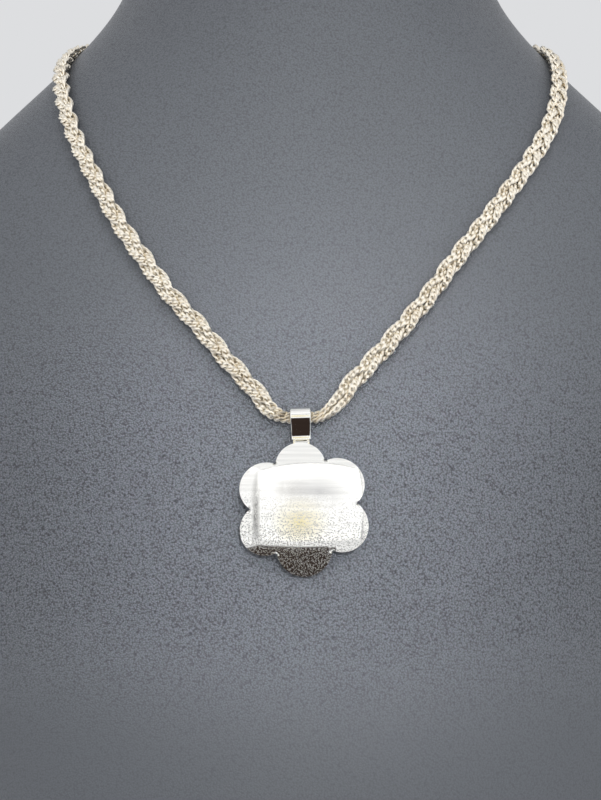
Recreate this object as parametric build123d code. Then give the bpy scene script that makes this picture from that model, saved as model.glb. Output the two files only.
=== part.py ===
from build123d import *
import os
from math import ceil, cos, exp, hypot, log, pi, radians, sin, sqrt, tan

os.makedirs("parts", exist_ok=True)

# Millimetres, +Z up, the chest faces -Y, and the origin is the middle of the base

# Neck bust
bust_height = 236.0
bust_width = 206.0
bust_depth = 130.0
neck_edge = 4.0
oval_end_share = 0.7
# Each row is a level section: height, half width, front and back, as shares of the three sizes above
bust_sections = [
    (0.000, 0.854, 0.003, 1.000),
    (0.125, 0.893, 0.019, 0.992),
    (0.250, 0.937, 0.048, 0.981),
    (0.375, 0.971, 0.085, 0.965),
    (0.500, 0.990, 0.132, 0.946),
    (0.625, 0.995, 0.181, 0.923),
    (0.750, 0.898, 0.236, 0.908),
    (0.875, 0.624, 0.296, 0.919),
    (1.000, 0.450, 0.331, 0.958),
]

# Clearances
skin_gap = 0.3
strand_gap = 0.13
socket_gap = 0.15

# Plaited chain
strand_diameter = 1.0
plait_swing = 1.70
plait_rise = 1.33
plait_half_depth = 1.30
lobe_pitch_low = 8.0
lobe_pitch_drop = 0.024
lobe_pitch_top = 5.8
bundle_left = 8.6
bundle_right = 12.0
chain_phase = radians(30)
loosening = 1.6
loose_share = 0.6
bail_lift = 0.4
bail_stretch = 12.0
plait_half_width = 2.0
arc_share = 0.45

# The chain's route along the middle of the plait, from the left of the clasp past the bail to its right,
# as shares of the bust's width, depth and height
route_left = [
    (-0.0922, 0.4308, 0.9258), (-0.1359, 0.4000, 0.9237), (-0.1772, 0.3600, 0.9203),
    (-0.2184, 0.3077, 0.9169), (-0.2534, 0.2477, 0.9127), (-0.2830, 0.1715, 0.9064),
    (-0.3010, 0.0523, 0.8903), (-0.3024, -0.0454, 0.8636), (-0.2932, -0.1208, 0.8280),
    (-0.2786, -0.1708, 0.7924), (-0.2597, -0.2069, 0.7581), (-0.2388, -0.2392, 0.7242),
    (-0.2155, -0.2654, 0.6898), (-0.1883, -0.2892, 0.6568), (-0.1602, -0.3108, 0.6237),
    (-0.1272, -0.3292, 0.5919), (-0.0932, -0.3492, 0.5572), (-0.0617, -0.3646, 0.5267),
]
route_right = [
    (0.0383, -0.3669, 0.5267), (0.0694, -0.3523, 0.5568), (0.1019, -0.3346, 0.5886),
    (0.1350, -0.3154, 0.6229), (0.1650, -0.2962, 0.6585), (0.1937, -0.2723, 0.6894),
    (0.2199, -0.2500, 0.7186), (0.2456, -0.2192, 0.7487), (0.2680, -0.1900, 0.7780),
    (0.2879, -0.1477, 0.8106), (0.2995, -0.0823, 0.8487), (0.3005, 0.0523, 0.8903),
    (0.2830, 0.1715, 0.9064), (0.2534, 0.2477, 0.9127), (0.2184, 0.3077, 0.9169),
    (0.1772, 0.3600, 0.9203), (0.1359, 0.4000, 0.9237), (0.0922, 0.4308, 0.9258),
]

# Clasp, a plain barrel at the nape
clasp_length = 16.0
clasp_diameter = 5.7
clasp_edge = 0.6
clasp_share = 0.9271
socket_depth = 6.5
nape_lift = 0.7
nape_stretch = 24.0

# Flower pendant
bail_x = -2.4
bail_share = 0.5
pendant_lean = 1.8
petal_radius = 6.0
petal_offset = 9.7
# Each row is a petal, from the top one on towards the left: its turn from the regular place, in degrees,
# and its offset and radius as shares of the two sizes above
petals = [
    (2.5, 0.91, 0.96),
    (4.0, 0.98, 0.99),
    (1.5, 1.06, 0.98),
    (-0.5, 1.01, 1.07),
    (0.5, 1.02, 1.02),
    (-0.5, 0.96, 1.01),
]
plate_thickness = 1.1
dome_radius = 42.0
rim_rounding = 0.4
notch_rounding = 0.35
top_petal_lift = 0.7
bail_width_top = 4.8
bail_width_low = 4.2
bail_strap = 0.75
bail_hollow = 1.35
bail_rise = 0.25
bail_front_angle = 35.0
bail_drop = 5.1
tip_gap = 0.8
solder_length = 2.6
solder_depth = 0.55


def oval(height, half_width, front, back):
    """One level section of the bust: two side arcs and a front and a back arc, all tangent."""
    middle = (front + back) / 2
    half_depth = (back - front) / 2
    short, long = sorted((half_depth, half_width))
    end_radius = oval_end_share * short
    flat_radius = (long**2 + short**2 - 2 * long * end_radius) / (2 * (short - end_radius))
    reach = long - end_radius
    sink = flat_radius - short
    along = reach + end_radius * reach / hypot(reach, sink)
    across = end_radius * sink / hypot(reach, sink)
    if half_width < half_depth:
        along, across = across, along

    def spot(x, y):
        return Vector(x, middle + y, height)

    back_arc = ThreePointArc(spot(along, across), spot(0, half_depth), spot(-along, across))
    left_arc = ThreePointArc(spot(-along, across), spot(-half_width, 0), spot(-along, -across))
    front_arc = ThreePointArc(spot(-along, -across), spot(0, -half_depth), spot(along, -across))
    right_arc = ThreePointArc(spot(along, -across), spot(half_width, 0), spot(along, across))
    return make_face([back_arc, left_arc, front_arc, right_arc])


def neck_bust():
    """The chest, shoulders and neck as one loft on a flat base, with a rounded edge round the neck's top."""
    faces = []
    for height, half_width, front, back in bust_sections:
        section_front = (front - 0.5) * bust_depth
        section_back = (back - 0.5) * bust_depth
        faces.append(oval(height * bust_height, half_width * bust_width / 2, section_front, section_back))
    form = loft(faces)
    top = form.faces().sort_by(Axis.Z)[-1]
    return fillet(top.edges(), neck_edge)


bust = neck_bust()
skin = bust.shell()


def skin_below(point):
    """The nearest spot of the bust's skin and the direction there out of the bust."""
    _, on_skin, _ = skin.distance_to_with_closest_points(point)
    out = on_skin - point if bust.is_inside(point) else point - on_skin
    return on_skin, out.normalized()


def above_skin(point, lift):
    """The point moved along the skin's own direction until it stands the lift above the skin."""
    on_skin, out = skin_below(point)
    return on_skin + out * lift


def chest_spot(x, height):
    """The spot of the chest's skin straight behind a place seen from the front."""
    line = Axis((x, -bust_depth, height), (0, 1, 0))
    return min((point for point, _ in bust.find_intersection_points(line)), key=lambda spot: spot.Y)


# Places that follow the bust
bail_height = bail_share * bust_height
clasp_height = clasp_share * bust_height
bundle_radius = (strand_diameter + strand_gap) / sqrt(3)
bail_middle = skin_gap + bail_strap + bail_hollow
chest_at_bail = chest_spot(bail_x, bail_height)
petal_reaches = [offset * petal_offset + radius * petal_radius for _, offset, radius in petals]
flower_tip = max(petal_reaches)
flower_drop = bail_drop + tip_gap + petal_reaches[0]
chest_at_tip = chest_spot(bail_x, bail_height - flower_drop - flower_tip)
chest_up = (chest_at_bail - chest_at_tip).normalized()
chest_out = Vector(1, 0, 0).cross(chest_up)
bail_centre = chest_at_bail + chest_out * bail_middle
nape_line = Axis((0, bust_depth, clasp_height), (0, -1, 0))
nape_skin = max((point for point, _ in bust.find_intersection_points(nape_line)), key=lambda spot: spot.Y)
clasp_centre = nape_skin + Vector(0, clasp_diameter / 2 + skin_gap, 0)
strand_end = clasp_length / 2 - socket_depth + socket_gap
strand_mouth = clasp_length / 2 + 1.6
bail_shoulder = bail_width_top / 2 + 1.0


def chain_route():
    """The plait's middle line: the route's points laid on the skin, straight in the clasp and the bail."""

    def lay(shares):
        spot = Vector(shares[0] * bust_width, shares[1] * bust_depth, shares[2] * bust_height)
        beside_clasp = spot.Y > 0 and abs(spot.X) < nape_stretch
        beside_bail = spot.Y < 0 and abs(spot.X - bail_x) < bail_stretch
        lift = plait_half_depth + skin_gap + nape_lift * beside_clasp + bail_lift * beside_bail
        return above_skin(spot, lift)

    in_clasp = [(strand_end, 0, 0), ((strand_end + strand_mouth) / 2, 0, 0), (strand_mouth, 0, 0)]
    points = [clasp_centre - Vector(*spot) for spot in in_clasp]
    points += [lay(shares) for shares in route_left]
    points += [bail_centre + Vector(step, 0, 0) for step in (-bail_shoulder, 0, bail_shoulder)]
    points += [lay(shares) for shares in route_right]
    points += [clasp_centre + Vector(*spot) for spot in reversed(in_clasp)]
    return Spline(*points)


middle_line = chain_route()
chain_length = middle_line.length
bail_along = middle_line.param_at_point(bail_centre) * chain_length

# The lobes of the plait are longest beside the pendant and shorten evenly up to the neck
steady_from = (lobe_pitch_low - lobe_pitch_top) / lobe_pitch_drop
lobes_to_steady = log(lobe_pitch_low / lobe_pitch_top) / lobe_pitch_drop


def lobes_at(distance):
    """How many lobes of the plait lie between the bail and a place this far along the chain."""
    if distance < steady_from:
        return log(lobe_pitch_low / (lobe_pitch_low - lobe_pitch_drop * distance)) / lobe_pitch_drop
    return lobes_to_steady + (distance - steady_from) / lobe_pitch_top


def distance_at(lobes):
    """The inverse of lobes_at."""
    if lobes < lobes_to_steady:
        return lobe_pitch_low / lobe_pitch_drop * (1 - exp(-lobe_pitch_drop * lobes))
    return steady_from + (lobes - lobes_to_steady) * lobe_pitch_top


def offset_point(along, swing, rise, phase):
    """A strand's place beside the middle line: swing across the skin, rise away from it."""
    share = along / chain_length
    middle = middle_line.position_at(share)
    _, out = skin_below(middle)
    ahead = middle_line.tangent_at(share)
    inward = out.cross(ahead).normalized()
    outward = ahead.cross(inward)
    return middle + inward * (swing * sin(phase)) - outward * (rise * sin(2 * phase))


def side_points(number, side, bundle, side_length):
    """A strand's corners on one side, four for each turn of the plait, ending midway along its last run."""
    lobes_start = lobes_at(bundle)
    start = chain_phase + 2 * pi * number / 3
    turn = 2 * pi / 3
    loose_place = bail_shoulder + (bundle - bail_shoulder) * loose_share
    loose_radius = bundle_radius * loosening
    corners = [
        (bail_shoulder, bundle_radius, bundle_radius, start),
        (loose_place, loose_radius, loose_radius, start),
    ]
    quarter = ceil(side * (start - pi / 4) / (pi / 2))
    while True:
        phase = pi / 4 + side * quarter * pi / 2
        distance = distance_at(lobes_start + side * (phase - start) / turn)
        if distance > side_length:
            break
        corners.append((distance, plait_swing, plait_rise, phase))
        quarter += 1
    points = [offset_point(bail_along + side * corner[0], *corner[1:]) for corner in corners]
    points[-1] = (points[-2] + points[-1]) / 2
    return points


def arc_radii(points):
    """The largest arc that each corner's two runs allow."""
    radii = []
    for before, corner, after in zip(points, points[1:], points[2:]):
        come = corner - before
        leave = after - corner
        half_turn = radians(come.get_angle(leave)) / 2
        radii.append(arc_share * min(come.length, leave.length) / tan(half_turn))
    return radii


def strand_points(number):
    """The corners of one strand from the clasp's left end to its right end."""
    left = side_points(number, -1, bundle_left, bail_along)
    right = side_points(number, 1, bundle_right, chain_length - bail_along)
    return left[::-1] + right


def strand(number):
    """One strand of the plait as a round tube of straight runs joined by tangent arcs."""
    points = strand_points(number)
    radii = arc_radii(points)
    path = FilletPolyline(*points, radius=radii)
    section = Plane(origin=path @ 0, z_dir=path % 0) * Circle(strand_diameter / 2)
    tube = sweep(section, path=path)
    expected = pi * strand_diameter**2 / 4 * path.length
    print(f"strand_{number + 1}: length {path.length:.1f}, least radius {min(radii):.2f}")
    print(f"strand_{number + 1}: volume {tube.volume:.2f}, section times length {expected:.2f}")
    return tube


def clasp():
    """A barrel with a blind socket in each end for the three strands."""
    barrel = Rot(0, 90, 0) * Cylinder(clasp_diameter / 2, clasp_length)
    barrel = chamfer(barrel.edges().filter_by(GeomType.CIRCLE), clasp_edge)
    socket = Rot(0, 90, 0) * Cylinder(plait_half_width + socket_gap, 2 * socket_depth)
    for side in (-1, 1):
        barrel -= Pos(side * clasp_length / 2, 0, 0) * socket
    return Pos(clasp_centre) * barrel


def flower_plate():
    """The domed plate: round petals cut from a spherical shell, notches and rim rounded."""
    with BuildSketch() as outline:
        Circle(petal_offset)
        for number, (turn, offset, radius) in enumerate(petals):
            angle = 90 + 360 * number / len(petals) + turn
            with PolarLocations(offset * petal_offset, 1, start_angle=angle):
                Circle(radius * petal_radius)
        fillet(outline.vertices(), notch_rounding)
    prism = extrude(outline.sketch, amount=dome_radius / 2, both=True)
    rim_sink = sqrt(dome_radius**2 - flower_tip**2)
    # The spheres lie on their side, so that their seam and poles are outside the plate
    shell = Rot(0, 90, 0) * (Sphere(dome_radius) - Sphere(dome_radius - plate_thickness))
    plate = prism & (Pos(0, 0, plate_thickness - rim_sink) * shell)
    plate = plate.solids().sort_by(Axis.Z)[-1]
    rim = plate.edges().filter_by(lambda edge: edge.geom_type != GeomType.LINE)
    return fillet(rim, rim_rounding)


def drop_outline(radius, back, low, low_front):
    """Half a drop in the side view: an arc over the top and a straight front down to its low end."""
    angle = radians(bail_front_angle)
    leave = (bail_rise - radius * sin(angle), bail_middle + radius * cos(angle))
    Polyline((bail_rise, back), (low, back), (low, low_front), leave)
    ThreePointArc(leave, (bail_rise + radius, bail_middle), (bail_rise, back))


def bail():
    """A strap bent into a drop-shaped loop with a flat tail, narrower towards the tail."""
    tail_end = -(bail_drop + solder_length)
    tail_top = skin_gap + plate_thickness + solder_depth
    outer_radius = bail_hollow + bail_strap
    hollow_back = skin_gap + bail_strap
    with BuildSketch(Plane.YZ) as side:
        with BuildLine():
            drop_outline(outer_radius, skin_gap, -bail_drop, tail_top)
        make_face()
        with BuildLine():
            Polyline(
                (-bail_drop, skin_gap), (tail_end, skin_gap),
                (tail_end, tail_top), (-bail_drop, tail_top), close=True,
            )
        make_face()
        with BuildLine():
            drop_outline(bail_hollow, hollow_back, bail_strap - bail_drop, hollow_back + bail_strap / 4)
        make_face(mode=Mode.SUBTRACT)
    strap = extrude(side.sketch, amount=bail_width_top / 2, both=True)
    top = bail_rise + outer_radius
    half_top, half_low = bail_width_top / 2, bail_width_low / 2
    with BuildSketch() as front:
        with BuildLine():
            Polyline(
                (-half_top, top), (-half_top, 0), (-half_low, tail_end),
                (half_low, tail_end), (half_top, 0), (half_top, top), close=True,
            )
        make_face()
    return strap & extrude(front.sketch, amount=bail_middle + outer_radius)


def flower_pendant():
    """The plate with the bail soldered behind its top petal, laid on the chest and leaning a little."""
    tilt = Plane(
        origin=(0, -flower_drop, skin_gap + top_petal_lift / 2),
        x_dir=(1, 0, 0),
        z_dir=Vector(0, -top_petal_lift, 2 * flower_tip).normalized(),
    )
    whole = tilt * flower_plate() + bail()
    chest = Plane(origin=chest_at_bail, x_dir=(1, 0, 0), z_dir=chest_out)
    return chest * Rot(0, 0, pendant_lean) * whole


parts = {"neck_bust": bust, "clasp": clasp(), "flower_pendant": flower_pendant()}
for number in range(3):
    parts[f"strand_{number + 1}"] = strand(number)

for name, shape in parts.items():
    export_step(shape, f"parts/{name}.step")
print("chain length", round(chain_length, 1), "bail at", bail_centre)
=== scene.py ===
"""
A silver flower pendant on a plaited curb chain, worn by a neck bust.
The file is laid out as an add-on, and is run as a script.
"""
from math import cos, pi, radians, sin, sqrt

import bpy
import numpy as np
from bpy.props import FloatProperty, PointerProperty, StringProperty
from mathutils import Matrix
from mathutils.bvhtree import BVHTree


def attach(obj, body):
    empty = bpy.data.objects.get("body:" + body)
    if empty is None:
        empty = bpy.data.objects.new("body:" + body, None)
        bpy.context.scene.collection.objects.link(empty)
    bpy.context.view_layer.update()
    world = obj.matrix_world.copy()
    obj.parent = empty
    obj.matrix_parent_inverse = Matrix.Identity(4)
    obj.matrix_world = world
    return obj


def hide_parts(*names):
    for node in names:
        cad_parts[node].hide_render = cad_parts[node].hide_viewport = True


bl_info = {
    "name": "Flower pendant on a neck bust",
    "version": (1, 0, 0),
    "blender": (4, 5, 0),
    "location": "3D View > Sidebar > Necklace",
    "description": "Builds the flower pendant, its plaited curb chain, the bust and a plain studio",
    "category": "Add Mesh",
}

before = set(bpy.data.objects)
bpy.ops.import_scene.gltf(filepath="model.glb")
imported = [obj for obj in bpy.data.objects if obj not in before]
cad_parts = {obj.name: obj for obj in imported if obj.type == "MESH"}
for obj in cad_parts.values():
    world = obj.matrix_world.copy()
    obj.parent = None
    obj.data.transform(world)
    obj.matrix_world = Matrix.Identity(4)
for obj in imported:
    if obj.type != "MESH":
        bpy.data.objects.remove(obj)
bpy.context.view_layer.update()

# Lengths below are millimetres, in the CAD's frame
MM = 0.001

# Edges that turn by more than this are drawn sharp
SHARP_ANGLE = radians(50)

# Neck bust: its width, depth and height, then each level section's height, width, front and back as shares of
# them, with front and back both counted from the foremost point
BUST_SIZE = (206.0, 130.0, 236.0)
BUST_SECTIONS = np.array([
    (0.000, 0.854, 0.003, 1.000),
    (0.125, 0.893, 0.019, 0.992),
    (0.250, 0.937, 0.048, 0.981),
    (0.375, 0.971, 0.085, 0.965),
    (0.500, 0.990, 0.132, 0.946),
    (0.625, 0.995, 0.181, 0.923),
    (0.750, 0.898, 0.236, 0.908),
    (0.875, 0.624, 0.296, 0.919),
    (1.000, 0.450, 0.331, 0.958),
])
OVAL_END_SHARE = 0.7
NECK_EDGE = 4.0

# The plait's middle line, from inside the clasp's left end, past the bail, to inside its right end
CLASP_CENTRE = (0.0, 59.39, 218.8)
STRAND_END = 1.65
STRAND_MOUTH = 9.6
BAIL_CENTRE = (-2.4, -50.18, 118.48)
BAIL_SHOULDER = 3.4
ROUTE_LEFT = [
    (-18.9, 55.7, 218.5), (-27.7, 51.4, 218.0), (-36.3, 46.6, 217.2), (-45.0, 40.0, 216.4),
    (-52.5, 32.4, 215.6), (-58.4, 22.3, 214.0), (-62.0, 6.8, 210.0), (-62.4, -5.9, 203.9),
    (-60.5, -15.9, 195.5), (-57.5, -22.4, 187.1), (-53.6, -27.3, 179.1), (-49.2, -31.3, 171.0),
    (-44.4, -34.7, 162.8), (-38.8, -37.8, 155.0), (-33.0, -40.5, 147.2), (-26.2, -43.1, 139.8),
    (-19.2, -45.6, 131.5), (-12.8, -48.1, 124.4),
]
ROUTE_RIGHT = [
    (7.9, -48.3, 124.4), (14.3, -46.1, 131.5), (21.0, -43.9, 139.0), (27.8, -41.3, 147.1),
    (34.0, -38.5, 155.4), (40.0, -35.7, 162.8), (45.3, -32.7, 169.6), (50.7, -29.0, 176.9),
    (55.3, -24.9, 183.7), (59.3, -19.3, 191.3), (61.8, -10.8, 200.4), (61.9, 6.8, 210.1),
    (58.4, 22.3, 214.0), (52.5, 32.4, 215.6), (45.0, 40.0, 216.4), (36.3, 46.6, 217.2),
    (27.7, 51.4, 218.0), (18.9, 55.7, 218.5),
]

# The plait: three strands, 120 degrees of phase apart, that turn by one lobe each pitch. The pitch shrinks
# away from the bail. Beside the bail the strands lie in a bundle, which opens over the fade.
LOBE_PITCH_LOW = 8.0
LOBE_PITCH_DROP = 0.024
LOBE_PITCH_TOP = 5.8
BUNDLE_LEFT = 8.6
BUNDLE_RIGHT = 12.0
BUNDLE_FADE = 1.5
CHAIN_PHASE = radians(30)

# Flower plate and bail, in the pendant's own frame: across, up the chest, out from the skin
CHEST_AT_BAIL = (-2.4, -47.824, 118.0)
CHEST_UP = (0.0, 0.198836, 0.980033)
CHEST_OUT = (0.0, -0.980033, 0.198836)
PENDANT_LEAN = radians(1.8)
SKIN_GAP = 0.3
PETAL_RADIUS = 6.0
PETAL_OFFSET = 9.7
# Each row is a petal, from the top one on towards the left: its turn from the regular place, in degrees,
# and its offset and radius as shares of the two sizes above
PETALS = np.array([
    (2.5, 0.91, 0.96),
    (4.0, 0.98, 0.99),
    (1.5, 1.06, 0.98),
    (-0.5, 1.01, 1.07),
    (0.5, 1.02, 1.02),
    (-0.5, 0.96, 1.01),
])
NOTCH_ROUNDING = 0.35
PLATE_THICKNESS = 1.1
BACK_BAND = 0.5
DOME_RADIUS = 42.0
TOP_PETAL_LIFT = 0.7
BAIL_STRAP = 0.75
BAIL_HOLLOW = 1.35
BAIL_RISE = 0.25
BAIL_DROP = 5.1
TIP_GAP = 0.8
BAIL_WIDTH_TOP = 4.8
BAIL_WIDTH_LOW = 4.2
BAIL_FOOT = 0.75
SOLDER_LENGTH = 2.6
SOLDER_OVERLAP = 0.3
SOLDER_THICKNESS = 0.6 * PLATE_THICKNESS
# Each row is a ring of the soldered end: its place as a share of the length, and how full it is
SOLDER_RINGS = ((0, 0.8), (0.05, 1.0), (1, 1.0), (1.02, 0.8))
PETAL_REACHES = PETALS[:, 1] * PETAL_OFFSET + PETALS[:, 2] * PETAL_RADIUS
FLOWER_TIP = PETAL_REACHES.max()
FLOWER_DROP = BAIL_DROP + TIP_GAP + PETAL_REACHES[0]

# Barrel clasp, with a blind socket in each end and a groove each side of its middle. The groove's rows are
# places along the barrel and its depth there.
CLASP_LENGTH = 16.0
CLASP_RADIUS = 2.85
CLASP_EDGE = 0.6
CLASP_GROOVE = ((1.1, 0.0), (0.95, 0.12), (0.75, 0.12), (0.6, 0.0), (0.0, 0.0))
SOCKET_RADIUS = 2.15
SOCKET_DEPTH = 6.5
SOCKET_LIP = 0.05
SOCKET_FLOOR_RADIUS = 0.4

# Heights over which the leatherette's grain and the painted light and shade on it come in above the base and
# ease off towards the neck, and over which the flower's pits fade out, and the depth of grain and pits
GRAIN_AND_PAINTED_LIGHT_IN = (42, 84)
GRAIN_AND_PAINTED_LIGHT_OFF = (100, 155)
PITS_FADE_OUT = (92, 104)
GRAIN_DEPTH = 0.5
PIT_DEPTH = 0.032

# Patterns, as how often they repeat in a metre: polishing streaks 17 mm long and 0.7 mm high, wear on the
# chain about 1.1 mm across and its tarnish about 3.8 mm, and the floor's mottle about 170 mm
STREAKS_PER_METRE = (60.0, 60.0, 1400.0)
WEAR_PER_METRE = 900.0
TARNISH_PER_METRE = 260.0
MOTTLE_PER_METRE = 6.0

# Studio: half the floor, and a flat black card before the bust, by its middle and half sizes
FLOOR_HALF = 4000
FLOOR_DROP = 0.05
FLAG_PLACE = (-75, -345, 2)
FLAG_HALF = (220, 215)
WORLD_COLOUR = "#DDDEE0"
VELVET_COLOUR = "#382E29"

# The softbox, and strips beside and above the bust: name, place, size, and share of the softbox's power
SOFTBOX_PLACE = (60.0, -818.0, 298.0)
SOFTBOX_AIM = (-2.4, -55, 98)
SOFTBOX_SIZE = (1120, 940)
STRIPS = (
    ("strip_left", (-468, -434, 205), (380, 700), 0.18),
    ("strip_right", (507, -375, 205), (380, 700), 0.18),
    ("strip_above", (0, -457, 798), (1100, 480), 0.28),
)

# Black frames and tinted gels before the softbox: name, place across and up from its middle, half width and
# half height. A gel's row starts with its colour.
FRAME_GAP = 5
FRAMES = (
    ("softbox_frame_right", 563, 0, 6, 470),
    ("softbox_frame_top", 0, 473, 560, 4),
)
GEL_GAP = 20
GELS = (
    ("#E2D8B0", "gel_warm", -95, -124, 290, 250),
    ("#C8C6C5", "gel_grey_left", -165, 170, 200, 160),
    ("#C8C8CA", "gel_grey_right", 80, 150, 320, 170),
    ("#3C3A38", "gel_edge", -560, 80, 60, 480),
)

# Narrow lamps on the chest: name, place, aim, size, share of the fill's power, and spread
CHEST_LAMPS = (
    ("fill_above", (40, -190, 330), (0, -53, 108), (90, 90), 1.0, radians(60)),
    ("spot_on_pendant", (60, -420, 210), (0, -55, 104), (60, 60), 0.52, radians(20)),
)

# The camera looks level at the chest, and its longer side takes in the framed height at the framed distance
CAMERA_PLACE = (-2.4, -550, 122.44)
CAMERA_SENSOR = 36
FRAMED_HEIGHT = 184
FRAMED_DISTANCE = 500
NEAREST_SEEN = 10


def linear(colour):
    """A hex sRGB colour as linear RGBA: each channel over 12.92 when dark, else the 2.4 power curve."""
    channels = np.array([int(colour[i:i + 2], 16) for i in (1, 3, 5)]) / 255
    bright = ((channels + 0.055) / 1.055) ** 2.4
    return (*np.where(channels <= 0.04045, channels / 12.92, bright), 1.0)


def add(tree, kind, inputs=(), **settings):
    """Adds one node: settings are its own properties, and inputs maps a socket to a value or a socket."""
    node = tree.nodes.new(kind)
    for name, value in settings.items():
        setattr(node, name, value)
    for name, value in dict(inputs).items():
        if isinstance(value, bpy.types.NodeSocket):
            tree.links.new(value, node.inputs[name])
        else:
            node.inputs[name].default_value = value
    return node


def new_material(name):
    """An empty node material, and its tree to fill."""
    material = bpy.data.materials.new(name)
    material.use_nodes = True
    material.node_tree.nodes.clear()
    return material, material.node_tree


def unit(vectors):
    """Each vector over its length."""
    return vectors / np.linalg.norm(vectors, axis=-1, keepdims=True)


def smooth_step(share):
    """0 below 0, 1 above 1, and 3s2 - 2s3 between."""
    share = np.clip(share, 0, 1)
    return share * share * (3 - 2 * share)


def cubic_spline(knots, values, at):
    """
    The cubic spline through values at the knots. Its second derivatives solve the tridiagonal system, and its
    first two and last two pieces are one cubic each.
    """
    knots = np.asarray(knots, float)
    values = np.asarray(values, float).reshape(len(knots), -1)
    step = np.diff(knots)
    system = np.eye(len(knots))
    right = np.zeros_like(values)
    inner = np.arange(1, len(knots) - 1)
    system[inner, inner - 1] = step[:-1]
    system[inner, inner] = 2 * (step[:-1] + step[1:])
    system[inner, inner + 1] = step[1:]
    system[0, :3] = step[1], -step[0] - step[1], step[0]
    system[-1, -3:] = step[-1], -step[-1] - step[-2], step[-2]
    slope = np.diff(values, axis=0) / step[:, None]
    right[1:-1] = 6 * np.diff(slope, axis=0)
    second = np.linalg.solve(system, right)
    at = np.asarray(at, float)
    piece = np.clip(np.searchsorted(knots, at, side="right") - 1, 0, len(knots) - 2)
    width = step[piece][:, None]
    low = (knots[piece + 1] - at)[:, None] / width
    high = (at - knots[piece])[:, None] / width
    bend = (low**3 - low) * second[piece] + (high**3 - high) * second[piece + 1]
    return low * values[piece] + high * values[piece + 1] + bend * width**2 / 6


def lengths_along(points):
    """The distance of each point from the first, along the points."""
    return np.concatenate([[0], np.cumsum(np.linalg.norm(np.diff(points, axis=0), axis=1))])


def grid_quads(rows, columns, wrap_rows=False, wrap_columns=True):
    """The quads of a grid of rows by columns, closed on itself in the wrapped directions."""
    row = np.arange(rows if wrap_rows else rows - 1)
    column = np.arange(columns if wrap_columns else columns - 1)
    low, left = np.meshgrid(row, column, indexing="ij")
    high = (low + 1) % rows
    right = (left + 1) % columns
    quads = [low * columns + left, low * columns + right, high * columns + right, high * columns + left]
    return np.stack(quads, axis=-1).reshape(-1, 4)


def closed_shell(rings):
    """Points and faces of rings (rows by columns by xyz), closed by a point in each end ring's middle."""
    rows, columns = rings.shape[:2]
    points = np.concatenate([rings.reshape(-1, 3), rings[[0, -1]].mean(axis=1)])
    first, last = rows * columns, rows * columns + 1
    side = np.arange(columns)
    following = (side + 1) % columns
    top = (rows - 1) * columns
    caps = [[first, b, a] for a, b in zip(side.tolist(), following.tolist())]
    caps += [[last, top + a, top + b] for a, b in zip(side.tolist(), following.tolist())]
    return points, grid_quads(rows, columns).tolist() + caps


def make_piece(name, points, faces, material, slot, *nodes):
    """A smooth mesh object of points (mm) and faces. It rides on the root and stands for the CAD nodes."""
    mesh = bpy.data.meshes.new(name)
    mesh.from_pydata((points * MM).tolist(), [], faces)
    mesh.validate()
    mesh.shade_smooth()
    mesh.set_sharp_from_angle(angle=SHARP_ANGLE)
    mesh.materials.append(material)
    piece = bpy.data.objects.new(name, mesh)
    bpy.context.scene.collection.objects.link(piece)
    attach(piece, "root")
    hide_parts(*nodes)


def bust_rings(shares, insets, columns):
    """
    Level ovals of the bust at these shares of its height, each drawn in by its inset.
    An oval is four tangent arcs, so its point with outward angle a is the arc's centre plus radius times
    (cos a, sin a). Each arc is divided evenly, and the points between the sections follow cubic splines.
    """
    width, depth, height = BUST_SIZE
    rows = BUST_SECTIONS[:, 1:]
    half = rows[:, :1] * width / 2
    front = (rows[:, 1:2] - 0.5) * depth
    back = (rows[:, 2:] - 0.5) * depth
    middle = (front + back) / 2
    short = (back - front) / 2
    end = OVAL_END_SHARE * short
    flat = (half**2 + short**2 - 2 * half * end) / (2 * (short - end))
    reach = half - end
    sink = flat - short
    turn = np.arctan2(sink, reach)
    flat_turn = pi / 2 - turn
    end_count = columns // 5
    end_share = np.linspace(0, 1, end_count, endpoint=False)[None, :]
    flat_share = np.linspace(0, 1, columns // 2 - end_count, endpoint=False)[None, :]
    arcs = []
    for heading, radius, share, spread in (
        (0, end, end_share, turn),
        (pi / 2, flat, flat_share, flat_turn),
        (pi, end, end_share, turn),
        (3 * pi / 2, flat, flat_share, flat_turn),
    ):
        angle = heading + spread * (2 * share - 1)
        at_end = heading % pi == 0
        centre_x = reach * cos(heading) if at_end else 0 * reach
        centre_y = middle if at_end else middle - sink * sin(heading)
        arcs.append(np.stack([centre_x + radius * np.cos(angle), centre_y + radius * np.sin(angle), angle]))
    sections = np.concatenate(arcs, axis=-1)
    x, y, angle = (cubic_spline(BUST_SECTIONS[:, 0], values, shares) for values in sections)
    x = x - insets[:, None] * np.cos(angle)
    y = y - insets[:, None] * np.sin(angle)
    z = np.broadcast_to(shares[:, None] * height, x.shape)
    return np.stack([x, y, z], axis=-1)


def bust_shape(columns=288, rows=150, edge_rows=8, cap_shares=(0.2, 0.5, 0.8)):
    """The whole bust: rings up the form, a quarter round over the neck's edge, and a flat cap at each end."""
    height = BUST_SIZE[2]
    shares = np.linspace(0, 1 - NECK_EDGE / height, rows)
    turn = np.linspace(0, pi / 2, edge_rows + 1)[1:]
    edge_shares = 1 - NECK_EDGE / height * (1 - np.sin(turn))
    all_shares = np.concatenate([shares, edge_shares])
    insets = np.concatenate([np.zeros(rows), NECK_EDGE * (1 - np.cos(turn))])
    rings = bust_rings(all_shares, insets, columns)
    middle = rings.mean(axis=1, keepdims=True)
    shrink = np.array(cap_shares)[:, None, None]
    low = middle[0] + (rings[0] - middle[0]) * shrink
    high = middle[-1] + (rings[-1] - middle[-1]) * shrink[::-1]
    return closed_shell(np.concatenate([low, rings, high]))


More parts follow.
